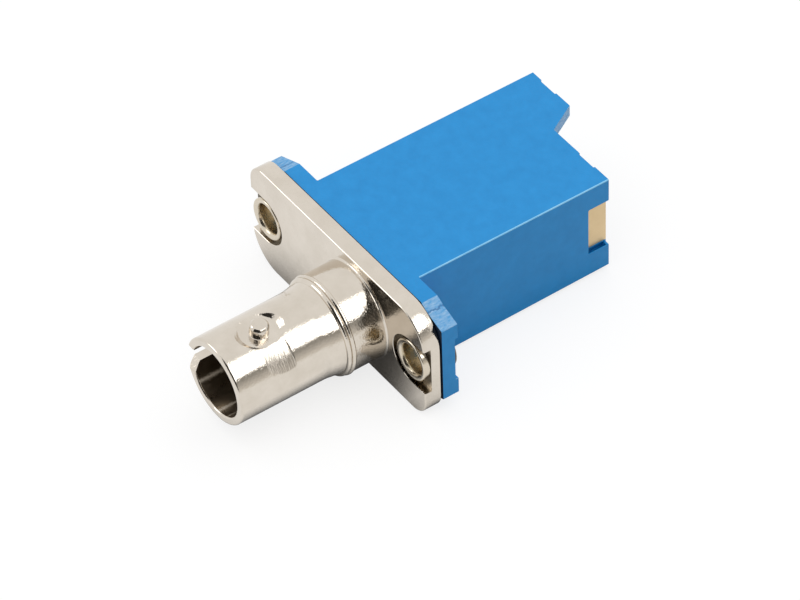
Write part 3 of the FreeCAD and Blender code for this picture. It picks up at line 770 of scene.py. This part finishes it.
def bore_nickel():
    """Inside of the barrel: a dark base colour as painted shade, with lighter, less metallic streaks along it
    as painted reflections.
    """
    graph = Graph("bore_nickel")
    dark, dull = (0.30, 0.24, 0.17), (0.62, 0.55, 0.45)
    # Angles and widths of the painted reflection streaks
    streaks = ((-2.46, 0.09), (-1.5, 0.07), (-1.08, 0.05))  # angle and width, in radians
    x, z = graph.across_and_up()
    angle = graph.calculate("ARCTAN2", z, graph.calculate("SUBTRACT", x, AXIS_X))
    wander = graph.spread(graph.noise(6.0, 3.0, 0.6), -0.03, 0.03)
    angle = graph.calculate("ADD", angle, wander)
    share = None
    for middle, width in streaks:
        off = graph.calculate("ABSOLUTE", graph.calculate("SUBTRACT", angle, middle))
        streak = graph.spread(off, 1.0, 0.0, from_low=0.0, from_high=width)
        share = graph.calculate("MAXIMUM", share, streak) if share else streak
    colour = graph.mix(share, dark, dull)
    metallic = graph.spread(share, 1.0, 0.2, from_low=0.0, from_high=1.0)
    rough = graph.spread(graph.noise(*POLISH), 0.25, 0.4)
    normal = graph.bump(graph.noise(6.0, 2.0, 0.5, stretch=(1.0, 0.2, 1.0)), distance=0.000006)
    return graph.principled(colour, rough, normal, metallic=metallic)


def ground_nickel(base, shade):
    """Ground patch: marks round the barrel that fade out towards the edge of the patch."""
    graph = Graph("ground_nickel")
    x, z = graph.across_and_up()
    reach = graph.length(graph.calculate("SUBTRACT", x, AXIS_X), z)
    full, start = BARREL_RADIUS - GATE_FULL, BARREL_RADIUS - GATE_START
    share = graph.spread(reach, 1.0, 0.0, from_low=full, from_high=start)
    colour = graph.shades(BLOTCHES, base, shade)
    rough = graph.spread(share, 0.08, 0.17, from_low=0.0, from_high=1.0)
    marks = graph.noise(7.0, 2.0, 0.5, stretch=(0.15, 1.3, 0.15))
    normal = graph.bump(graph.calculate("MULTIPLY", marks, share), distance=0.00004)
    return graph.principled(colour, rough, normal, METALLIC)


def pocket_nickel():
    """Floor of a pocket: painted shade near the eyelet, fading to plain nickel towards the plate's end."""
    graph = Graph("pocket_nickel")
    # Near-black painted shade by the eyelet, plain nickel farther out
    painted_shade, unshaded_floor = (0.10, 0.08, 0.05), (0.58, 0.52, 0.43)
    x, z = graph.across_and_up()
    across = graph.calculate("SUBTRACT", graph.calculate("ABSOLUTE", x), HOLE_X)
    wander = graph.spread(graph.noise(4.0, 3.0, 0.6), -0.12, 0.12)
    reach = graph.calculate("ADD", graph.length(across, z), wander)
    share = graph.spread(reach, 0.0, 1.0, from_low=SHADE_START, from_high=SHADE_END)
    colour = graph.mix(share, painted_shade, unshaded_floor)
    rough = graph.spread(graph.noise(*GRAIN), 0.25, 0.45)
    normal = graph.bump(graph.noise(4.0, 3.0, 0.5), distance=0.00002)
    return graph.principled(colour, rough, normal, METALLIC)


def scuffed(name, base, shade, roughness):
    """Scraped polymer: pale streaks across the flange, and a dark line where its two flats meet."""
    graph = Graph(name)
    dark, line_core, line_end = (0.008, 0.13, 0.36), 0.02, 0.1
    streaks = graph.noise(5.0, 4.0, 0.7, stretch=(1.6, 0.4, 1.6))
    colour = graph.mix(graph.spread(streaks, 0.0, 1.0, from_low=0.35, from_high=0.7), base, shade)
    x, _ = graph.across_and_up()
    wander = graph.spread(graph.noise(2.5, 3.0, 0.6), -0.09, 0.09)
    side = graph.calculate("ADD", graph.calculate("ABSOLUTE", x), wander)
    off = graph.calculate("ABSOLUTE", graph.calculate("SUBTRACT", side, SCRAPE_X))
    colour = graph.mix(graph.spread(off, 0.8, 0.0, from_low=line_core, from_high=line_end), colour, dark)
    rough = graph.spread(graph.noise(5.0, 4.0, 0.6), *roughness)
    normal = graph.bump(graph.noise(6.0, 3.0, 0.6), distance=0.000012)
    return graph.principled(colour, rough, normal, {"Specular IOR Level": 0.4})


def put(material, *things):
    for thing in things:
        thing.data.materials.clear()
        thing.data.materials.append(material)


def put_where(thing, material, chosen):
    """Give a further material to the faces chosen by their middle, in millimetres, and their normal."""
    thing.data.materials.append(material)
    index = len(thing.data.materials) - 1
    for face in thing.data.polygons:
        if chosen(face.center / MM, face.normal):
            face.material_index = index


# Faces that take a further material

def pocket_floor(middle, normal):
    deep = middle.y > PLATE_FACE + POCKET_DEPTH - NEAR and normal.y < -ALONG
    beside = abs(abs(middle.x) - HOLE_X) < POCKET_REACH
    return deep and beside and abs(middle.z) < POCKET_RADIUS + NEAR


def in_shaded_gap(middle, normal):
    """The gap behind the plate and the plate's narrow rear rim: faces that take painted shade."""
    inset = abs(middle.x) < PLATE_END - LOOSE and abs(middle.z) < PLATE_TOP - LOOSE
    gap = middle.y > PLATE_REAR - SHADOW_GAP - NEAR
    return gap and (inset or abs(normal.y) > ALONG)


def on_gate(middle, normal):
    across, up = middle.x - AXIS_X, middle.z
    angle = math.degrees(math.atan2(up, across))
    low = math.hypot(across, up) < BARREL_RADIUS - GATE_START
    return low and abs(angle - GATE_ANGLE) < GATE_SPAN and abs(middle.y - GATE_Y) < GATE_HALF + GATE_EDGE


def in_bore(middle, normal):
    across, up = middle.x - AXIS_X, middle.z
    reach = math.hypot(across, up)
    inwards = normal.x * across + normal.z * up < -ALONG * reach
    behind_rim = BARREL_MOUTH + BORE_ROUND / 2 < middle.y < PLATE_FACE
    return inwards and reach < BORE_RADIUS + NEAR and behind_rim


def inside_eyelet(middle, normal):
    across = abs(middle.x) - HOLE_X
    return math.hypot(across, middle.z) < EYELET_BORE + LOOSE and abs(normal.y) < HALFWAY


def eyelet_head(middle, normal):
    """Side and rounded edges of the rear head, down in the flange's pocket: faces that take painted shade."""
    return middle.y > -HEAD_FLOOR - NEAR and abs(normal.y) < ALONG


def shaded_flange_front(middle, normal):
    """Front face of the flange, painted near-black as shade: a dark line behind the metal plate, wider at the
    plate's round corner.
    """
    return middle.y < FINE_EDGE - SEAT_THICK and normal.y < -TOWARDS


def highlight_edge(middle, normal):
    """Long upper edge of the box on the latch plate's side, painted pale as a highlight."""
    bevel = normal.x > LEANING and normal.z > LEANING and abs(middle.x - BOX_HALF) < BOX_EDGE + NEAR
    return bevel and middle.z > 0 and middle.y > EDGE_START


def scraped(middle, normal):
    """Flats at the flange's upper corners, and the slanted end of the tab."""
    outer = -SEAT_THICK < middle.y < 0 and abs(middle.x) > SEAT_END - SEAT_RUN
    corner = outer and abs(normal.x) > LEANING and normal.z > LEANING
    return corner or middle.y > SHORT_SIDE and normal.x > HALFWAY and normal.y > TOWARDS


# The pieces

bayonet_body = make_bayonet_body()
housing = make_housing()
eyelets = [make_eyelet(-1, "left"), make_eyelet(1, "right")]
nodes = frame["nodes"]

cast = ((8.0, 0.000009), (1.3, 0.000006))
plated, dulled = (0.70, 0.64, 0.56), (0.64, 0.58, 0.50)
put(metal("cast_nickel", plated, dulled, (0.04, 0.12), cast), bayonet_body)
# Near-black nickel: painted shade in the gap behind the plate and on the sides of the eyelets' rear heads
painted_shade = metal("painted_shade_nickel", (0.16, 0.12, 0.07), (0.05, 0.04, 0.03), (0.3, 0.5), cast)
put_where(bayonet_body, painted_shade, in_shaded_gap)
put_where(bayonet_body, pocket_nickel(), pocket_floor)
put_where(bayonet_body, ground_nickel(plated, dulled), on_gate)
put_where(bayonet_body, bore_nickel(), in_bore)

rolled = metal(
    "rolled_nickel", (0.70, 0.64, 0.54), (0.62, 0.54, 0.42), (0.12, 0.28), ((3.0, 0.000005),))
# Darker, warmer and rougher nickel inside the eyelets' bores
eyelet_bore_metal = metal(
    "worn_nickel", (0.66, 0.56, 0.43), (0.50, 0.43, 0.28), (0.2, 0.35), ((2.5, 0.000012),))
for eyelet in eyelets:
    put(rolled, eyelet)
    put_where(eyelet, eyelet_bore_metal, inside_eyelet)
    put_where(eyelet, painted_shade, eyelet_head)

blue = polymer(
    "blue_moulding", (0.008, 0.253, 0.62), (0.013, 0.290, 0.69), (0.33, 0.42), 0.000002, 0.3)
put(blue, housing)
# Pale blue: painted highlight on the long upper edge of the box
painted_highlight_blue = polymer(
    "blue_painted_highlight", (0.20, 0.58, 0.92), (0.32, 0.68, 0.95), (0.3, 0.42), 0.000002, 0.3)
put_where(housing, painted_highlight_blue, highlight_edge)
# Near-black blue: painted shade on the flange's front face behind the plate
painted_flange_shade = polymer(
    "blue_painted_shade", (0.004, 0.012, 0.03), (0.006, 0.02, 0.05), (0.45, 0.6), 0.000004, 0.2)
put_where(housing, painted_flange_shade, shaded_flange_front)
put_where(housing, scuffed("blue_scraped", (0.05, 0.32, 0.67), (0.34, 0.55, 0.78), (0.35, 0.5)), scraped)

strip = metal(
    "latch_strip", (0.68, 0.52, 0.31), (0.62, 0.47, 0.27), (0.3, 0.42), ((5.0, 0.000003),))
put(strip, nodes["latch_plate"])
black = polymer(
    "black_moulding", (0.012, 0.011, 0.010), (0.02, 0.019, 0.018), (0.4, 0.55), 0.000002, 0.5)
put(black, nodes["sleeve_holder"], nodes["sleeve_retainer"])
ceramic = polymer(
    "white_ceramic", (0.8, 0.78, 0.73), (0.76, 0.74, 0.69), (0.12, 0.2), 0.0000005, 0.5)
put(ceramic, nodes["split_sleeve"])


# Studio

# Camera solved from the photograph: degrees, pixels, and millimetres from the frame's origin
CAMERA_ANGLES = (55.79993, 44.67548, -2.08564)
CAMERA_RIGHT = 2.20181
CAMERA_DOWN = 2.00511
CAMERA_BACK = 400.0
FOCAL_PIXELS = 5539.557
PHOTO_WIDTH = 800
SENSOR_WIDTH = 36.0

# The rest of the studio is in metres
FLOOR_REACH = 3.0
CONTACT_REACH = 0.0037
CARD_DISTANCE = 1.3
CARD_STEPS = 12
SOFTBOX_DISTANCE = 1.5


def camera():
    azimuth, elevation, roll = (math.radians(angle) for angle in CAMERA_ANGLES)
    right = Vector((math.cos(azimuth), math.sin(azimuth), 0))
    flat = math.cos(elevation)
    back = Vector((math.sin(azimuth) * flat, -math.cos(azimuth) * flat, math.sin(elevation)))
    up = back.cross(right)
    across = right * math.cos(roll) + up * math.sin(roll)
    upward = up * math.cos(roll) - right * math.sin(roll)
    data = bpy.data.cameras.new("camera")
    data.sensor_width = SENSOR_WIDTH
    data.lens = SENSOR_WIDTH * FOCAL_PIXELS / PHOTO_WIDTH
    data.clip_start, data.clip_end = 0.01, 10.0
    thing = bpy.data.objects.new("camera", data)
    bpy.context.scene.collection.objects.link(thing)
    place = (across * CAMERA_RIGHT - upward * CAMERA_DOWN + back * CAMERA_BACK) * MM
    turn = Matrix((across, upward, back)).transposed().to_4x4()
    thing.matrix_world = Matrix.Translation(place) @ turn
    bpy.context.scene.camera = thing


def seen_directly(tree):
    """1 for camera, glossy and transmission rays, 0 for the rays that carry light."""
    path = add_node(tree, "ShaderNodeLightPath")
    last = path.outputs["Is Camera Ray"]
    for name in ("Is Glossy Ray", "Is Transmission Ray"):
        links = {0: last, 1: path.outputs[name]}
        last = add_node(tree, "ShaderNodeMath", links=links, operation="MAXIMUM").outputs["Value"]
    return last


def height_range(tree, coordinate, low, high, foot, top, **settings):
    """Strength that changes with height, from one value at its foot to another at its top."""
    place = add_node(tree, "ShaderNodeTexCoord").outputs[coordinate]
    height = add_node(tree, "ShaderNodeSeparateXYZ", links={"Vector": place}).outputs["Z"]
    values = {"From Min": low, "From Max": high, "To Min": foot, "To Max": top}
    made = add_node(tree, "ShaderNodeMapRange", values, {"Value": height}, **settings)
    return made.outputs["Result"]


def world():
    """White where it is seen, and for the light a dome that grows brighter upwards."""
    made = bpy.data.worlds.new("studio")
    bpy.context.scene.world = made
    made.use_nodes = True
    tree = made.node_tree
    tree.nodes.clear()
    dome = height_range(tree, "Generated", 0.0, 1.0, foot=0.25, top=1.32, interpolation_type="SMOOTHSTEP")
    links = {"Factor": seen_directly(tree), "A": dome}
    strength = add_node(tree, "ShaderNodeMix", {"B": 1.0}, links, data_type="FLOAT").outputs["Result"]
    white = {"Color": (1.0, 1.0, 1.0, 1.0)}
    background = add_node(tree, "ShaderNodeBackground", white, {"Strength": strength})
    add_node(tree, "ShaderNodeOutputWorld", links={"Surface": background.outputs["Background"]})


def stage_piece(name, points, faces):
    mesh = bpy.data.meshes.new(name)
    mesh.from_pydata(points, [], faces)
    thing = bpy.data.objects.new(name, mesh)
    bpy.context.scene.collection.objects.link(thing)
    material = bpy.data.materials.new(name)
    material.use_nodes = True
    material.node_tree.nodes.clear()
    mesh.materials.append(material)
    return thing, material.node_tree


def glowing(tree, shade, values=None, links=None):
    """Dull surface of one grey that also gives off light."""
    dull = add_node(tree, "ShaderNodeBsdfDiffuse", {"Color": (shade, shade, shade, 1.0)})
    light = add_node(tree, "ShaderNodeEmission", values, links)
    both = {0: dull.outputs["BSDF"], 1: light.outputs["Emission"]}
    return add_node(tree, "ShaderNodeAddShader", links=both).outputs["Shader"]


def either(tree, share, first, second):
    links = {"Fac": share, 1: first, 2: second}
    return add_node(tree, "ShaderNodeMixShader", links=links).outputs["Shader"]


def floor():
    """White floor with a faint shadow. Reflections see only a glow, lowered by ambient occlusion where the
    part is close to it: a painted contact shadow.
    """
    reach, low = FLOOR_REACH, cad_low.z
    corners = [(-reach, -reach, low), (reach, -reach, low), (reach, reach, low), (-reach, reach, low)]
    _, tree = stage_piece("floor", corners, [(0, 1, 2, 3)])
    # Painted contact shadow for reflections: the glow drops where ambient occlusion is high
    distance = {"Distance": CONTACT_REACH}
    contact = add_node(tree, "ShaderNodeAmbientOcclusion", distance, samples=6).outputs["AO"]
    values = {"From Min": 0.35, "From Max": 0.9, "To Min": 0.05, "To Max": 1.0}
    open_share = add_node(tree, "ShaderNodeMapRange", values, {"Value": contact}).outputs["Result"]
    for_light = glowing(tree, 0.5, {"Strength": 0.0})
    for_reflections = glowing(tree, 0.0, links={"Strength": open_share})
    for_camera = glowing(tree, 0.24, {"Strength": 0.78})
    is_camera = add_node(tree, "ShaderNodeLightPath").outputs["Is Camera Ray"]
    surface = either(tree, seen_directly(tree), for_light, for_reflections)
    surface = either(tree, is_camera, surface, for_camera)
    add_node(tree, "ShaderNodeOutputMaterial", links={"Surface": surface})


def direction(azimuth, elevation):
    """Unit vector for two angles in degrees."""
    turn, rise = math.radians(azimuth), math.radians(elevation)
    return math.cos(rise) * math.cos(turn), math.cos(rise) * math.sin(turn), math.sin(rise)


def card(name, azimuths, elevations, top, foot):
    """Curved card that only reflections show, between two directions, with a strength at top and foot."""
    points, faces = [], []
    for step in range(CARD_STEPS + 1):
        azimuth = azimuths[0] + (azimuths[1] - azimuths[0]) * step / CARD_STEPS
        for elevation in elevations:
            points.append(tuple(CARD_DISTANCE * item for item in direction(azimuth, elevation)))
        if step:
            faces.append((2 * step - 2, 2 * step, 2 * step + 1, 2 * step - 1))
    thing, tree = stage_piece(name, points, faces)
    thing.visible_camera = thing.visible_shadow = thing.visible_diffuse = False
    strength = height_range(tree, "Object", points[0][2], points[1][2], foot, top)
    warm = {"Color": (1.0, 0.97, 0.92, 1.0)}
    glow = add_node(tree, "ShaderNodeEmission", warm, {"Strength": strength})
    add_node(tree, "ShaderNodeOutputMaterial", links={"Surface": glow.outputs["Emission"]})


def softbox(name, azimuth, elevation, size, radiance):
    way = Vector(direction(azimuth, elevation))
    data = bpy.data.lights.new(name, "AREA")
    data.shape = "RECTANGLE"
    data.size, data.size_y = size
    data.energy = radiance * math.pi * size[0] * size[1]
    thing = bpy.data.objects.new(name, data)
    bpy.context.scene.collection.objects.link(thing)
    thing.visible_diffuse = False
    turn = way.to_track_quat("Z", "Y").to_matrix().to_4x4()
    thing.matrix_world = Matrix.Translation(way * SOFTBOX_DISTANCE) @ turn


bpy.context.scene.view_settings.view_transform = "Standard"
camera()
world()
floor()
softbox("key_light", 22, 48, (1.4, 0.95), 2.0)
softbox("front_light", -134, 30, (0.6, 0.75), 2.2)
card("grey_card", (-20, 38), (-1, 28), 0.26, 0.85)
card("dark_card", (-95, -20), (-1, 45), 0.03, 0.05)
card("high_dark_card", (-95, -30), (44, 70), 0.03, 0.03)
